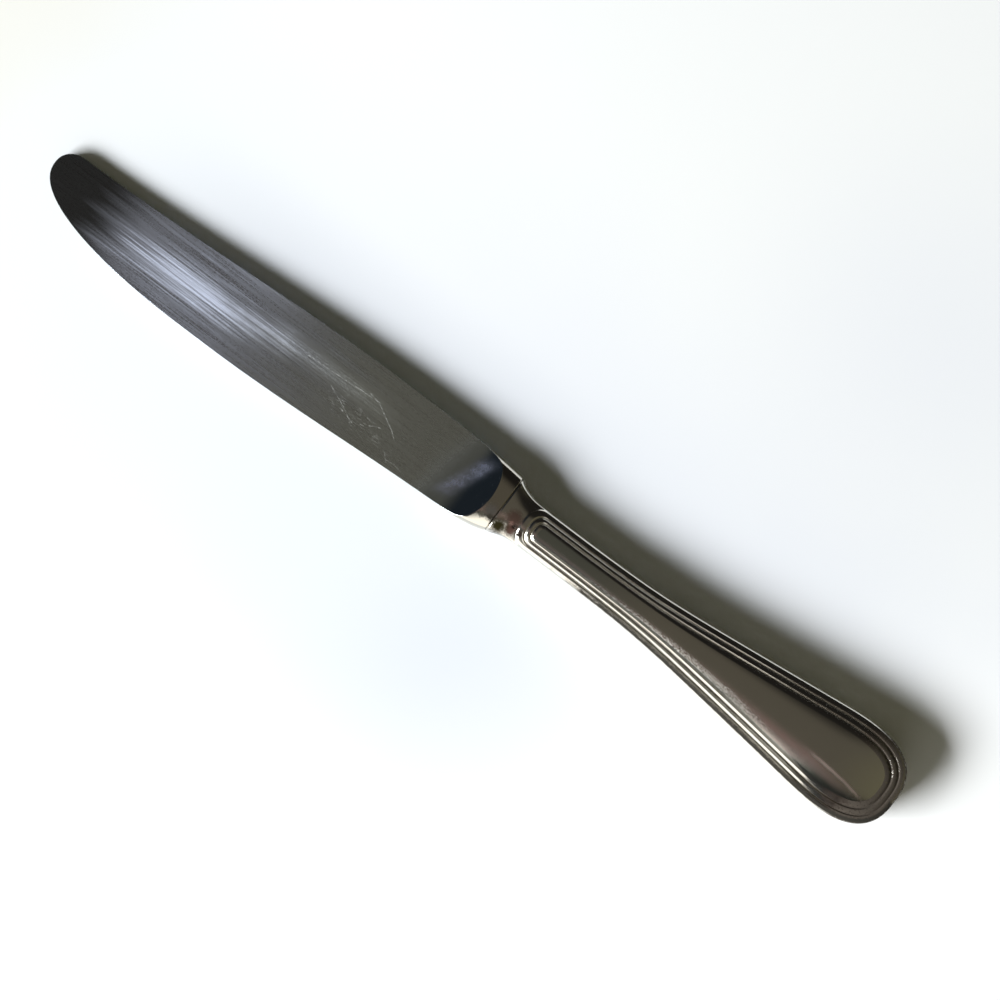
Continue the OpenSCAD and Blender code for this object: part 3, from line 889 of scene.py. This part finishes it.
def paperTop():
    look = paperLook
    material, tree = newFinish("paperTop")
    place = inMillimetres(tree)
    x, y, _ = tree.parts(place)
    cloud = (tree.noise(place, 0.012, detail=3, roughness=0.5) - 0.5) * look["cloudShift"]
    downX, downY = look["downwards"]
    # painted shadow beside the blade's spine
    paintedBladeShadow = tree.between(y, *look["besideBlade"]) * tree.between(x, *look["alongBlade"])
    # painted shade beside the knife
    colour = tree.blend(tree.step(abs(y) + cloud, *look["farBegins"]), look["near"], look["far"])
    colour = tree.blend(tree.step(cloud - x, *look["beyondTipBegins"]), colour, look["beyondTip"])
    # painted light on the lower part of the floor
    below = tree.step(x * downX + y * downY + cloud, *look["belowBegins"])
    colour = tree.blend(below, colour, look["below"])
    for atX, atY, radius, dull in look["dull"]:
        colour = tree.blend(tree.fade(tree.distance(x, y, (atX, atY)), 0, radius), colour, dull)
    colour = tree.blend(paintedBladeShadow, colour, look["paintedBladeShadow"])
    tree.finish(tree.add("ShaderNodeBsdfPrincipled", {}, {
        "Base Color": colour, "Roughness": 0.8, "Specular IOR Level": 0.2}))
    return material


# Pieces

bladePiece = makeBlade("bladeAndBolster")
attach(bladePiece, "root")
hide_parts("blade")
bladePiece.data.materials.append(bladeSteel())
print("blade and bolster made")

plate = silverPlate()
shells = (("frontShell", "handle_shell_front", 1), ("backShell", "handle_shell_back", -1))
for pieceName, nodeName, up in shells:
    shell = makeShell(pieceName, up)
    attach(shell, "root")
    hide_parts(nodeName)
    shell.data.materials.append(plate)
print("handle shells made")


def dress(node, material):
    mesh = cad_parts[node].data
    mesh.materials.clear()
    mesh.materials.append(material)


dress("solder_seam", solderLine())
dress("handle_filling", handleCement())
print("solder and filling dressed")


# Camera: over the knife's own middle plane, turned so that the knife crosses the picture as photographed

view = {
    "picture": 1000,
    "pixelsPerMm": 4.302,
    "seamPixel": (502.3, 505.6),   # where the seam crosses the handle's axis in the picture
    "turn": math.radians(37.1),    # the handle points this far below the picture's right
    "distance": 700,
}


def makeCamera():
    data = bpy.data.cameras.new("photoCamera")
    data.sensor_width = 36
    data.lens = data.sensor_width * view["pixelsPerMm"] * view["distance"] / view["picture"]
    data.clip_start = 0.01
    camera = bpy.data.objects.new("photoCamera", data)
    bpy.context.collection.objects.link(camera)
    seamX, seamY = view["seamPixel"]
    dx = (view["picture"] / 2 - seamX) / view["pixelsPerMm"]
    dy = (seamY - view["picture"] / 2) / view["pixelsPerMm"]
    turned = Matrix.Rotation(view["turn"], 4, "Z")
    target = turned @ Vector((dx, dy, view["distance"]))
    place = setDown @ Matrix.Translation(target) @ turned
    place.translation *= metre
    camera.matrix_world = place
    bpy.context.scene.camera = camera


makeCamera()
print("camera placed")


# Table, window light and the dim room. Directions are told from the knife: a bearing of 0 is straight
# out from its edge, and bearings grow towards the butt.

room = {
    "tableHalf": 3,                # metres
    "windowBearing": -33,
    "windowHeight": 29,            # degrees above the table
    "windowDistance": 2.6,
    "windowSize": (1.57, 0.90),
    "windowPower": 157,
    "windowColour": (0.95, 0.98, 1.0),
    "overhead": (0.088, 0.080, 0.064),
    "tipSide": (0.011, 0.014, 0.018),
    "spineSide": (0.012, 0.011, 0.010),
    "buttSide": (0.130, 0.122, 0.078),
    "curtain": (0.17, 0.125, 0.115),
    "sill": (0.035, 0.042, 0.038),
    "paleWall": (1.6, 1.58, 1.5),
    "backdrop": (0.93, 0.94, 0.95),
    "fill": (0.012, 0.014, 0.002),     # light that the room's pale things throw on the table
    # where each comes in and goes: in degrees from straight overhead towards the edge's side
    "curtainSpan": ((6, 20), (20, 24)),
    "sillSpan": ((20, 24), (38, 44)),
    "highWallBegins": (24, 28),
    # in degrees of bearing
    "highWallSpan": ((5, 9), (55, 65)),
    "lowWallSpan": ((-70, -60), (30, 45)),
    "lowWallSteps": (-30, -15),
    # and in parts of a direction: x or y for the three sides, and height for the low wall's top
    "tipBegins": (0.2, 0.58),
    "spineBegins": (0.3, 0.55),
    "buttBegins": (0.2, 0.6),
    "lowWallTop": (0.44, 0.2),         # and how much lower it is before it steps up
    # a dark coat below the picture: two points on the table that it stands between, and its height
    "coat": ((100, -88), (190, -20), 160),
    "coatGap": 0.5,
    "coatDark": (0.012, 0.012, 0.014),
    "coatLight": (0.035, 0.034, 0.032),
}


def makeTable():
    half = room["tableHalf"]
    points = np.array([(-half, -half, 0), (half, -half, 0), (half, half, 0), (-half, half, 0)], float)
    table = addMesh("tableTop", points, [(0, 1, 2, 3)], {}, smooth=False)
    table.data.materials.append(paperTop())


def makeWindow():
    data = bpy.data.lights.new("window", "AREA")
    data.shape = "RECTANGLE"
    data.size, data.size_y = room["windowSize"]
    data.energy = room["windowPower"]
    data.color = room["windowColour"]
    lamp = bpy.data.objects.new("window", data)
    bpy.context.collection.objects.link(lamp)
    bearing, height = math.radians(room["windowBearing"]), math.radians(room["windowHeight"])
    aside = math.cos(height)
    place = Vector((math.sin(bearing) * aside, -math.cos(bearing) * aside, math.sin(height)))
    lamp.location = place * room["windowDistance"]
    lamp.rotation_euler = place.to_track_quat("Z", "Y").to_euler()


def makeRoom():
    world = bpy.data.worlds.new("room")
    bpy.context.scene.world = world
    world.use_nodes = True
    tree = Tree(world.node_tree)
    x, y, z = tree.parts(tree.add("ShaderNodeTexCoord", output=0))
    camera = tree.add("ShaderNodeLightPath", output=0)
    glossy = tree.add("ShaderNodeLightPath", output=3)
    bearing = tree.reckon("ARCTAN2", x, -y) * (180 / math.pi)
    # degrees from straight overhead towards the edge's side
    aside = tree.reckon("ARCTAN2", -y, z) * (180 / math.pi)
    # a pale wall: a high stretch behind the butt, and a low one under the window
    high = tree.step(aside, *room["highWallBegins"]) * tree.between(bearing, *room["highWallSpan"]) * glossy
    top, lower = room["lowWallTop"]
    top = top - tree.fade(bearing, *room["lowWallSteps"]) * lower
    low = tree.fade(z - top, 0, 0.06) * tree.between(bearing, *room["lowWallSpan"])
    colour = room["overhead"]
    for share, name in (
        (tree.step(-x, *room["tipBegins"]), "tipSide"),
        (tree.step(y, *room["spineBegins"]), "spineSide"),
        (tree.step(x, *room["buttBegins"]), "buttSide"),
        (tree.between(aside, *room["curtainSpan"]), "curtain"),
        (tree.between(aside, *room["sillSpan"]), "sill"),
        (tree.larger(high, low), "paleWall"),
    ):
        colour = tree.blend(share, colour, room[name])
    colour = tree.blend(1 - glossy, colour, room["fill"], "ADD")
    colour = tree.blend(camera, colour, room["backdrop"])
    light = tree.add("ShaderNodeBackground", {}, {"Color": colour, "Strength": 1})
    tree.add("ShaderNodeOutputWorld", {}, {"Surface": light})


def makeCoat():
    start, end, height = room["coat"]
    foot = onTable(np.array([(*start, 0), (*end, 0)], float))
    foot[:, 2] = room["coatGap"] * metre
    top = foot + [0, 0, height * metre]
    coat = addMesh("darkCoat", np.concatenate([foot, top[::-1]]), [(0, 1, 2, 3)], {}, smooth=False)
    material, tree = newFinish("darkCloth")
    weave = tree.noise(inMillimetres(tree), 0.6, detail=4, roughness=0.6)
    colour = tree.blend(weave, room["coatDark"], room["coatLight"])
    tree.finish(tree.add("ShaderNodeBsdfPrincipled", {}, {"Base Color": colour, "Roughness": 0.9}))
    coat.data.materials.append(material)
    coat.visible_shadow = False
    coat.visible_diffuse = False
    coat.visible_camera = False    # it only shows in the metal


makeTable()
makeWindow()
makeCoat()
makeRoom()
bpy.context.scene.view_settings.view_transform = "Standard"
print("table, window and room made")
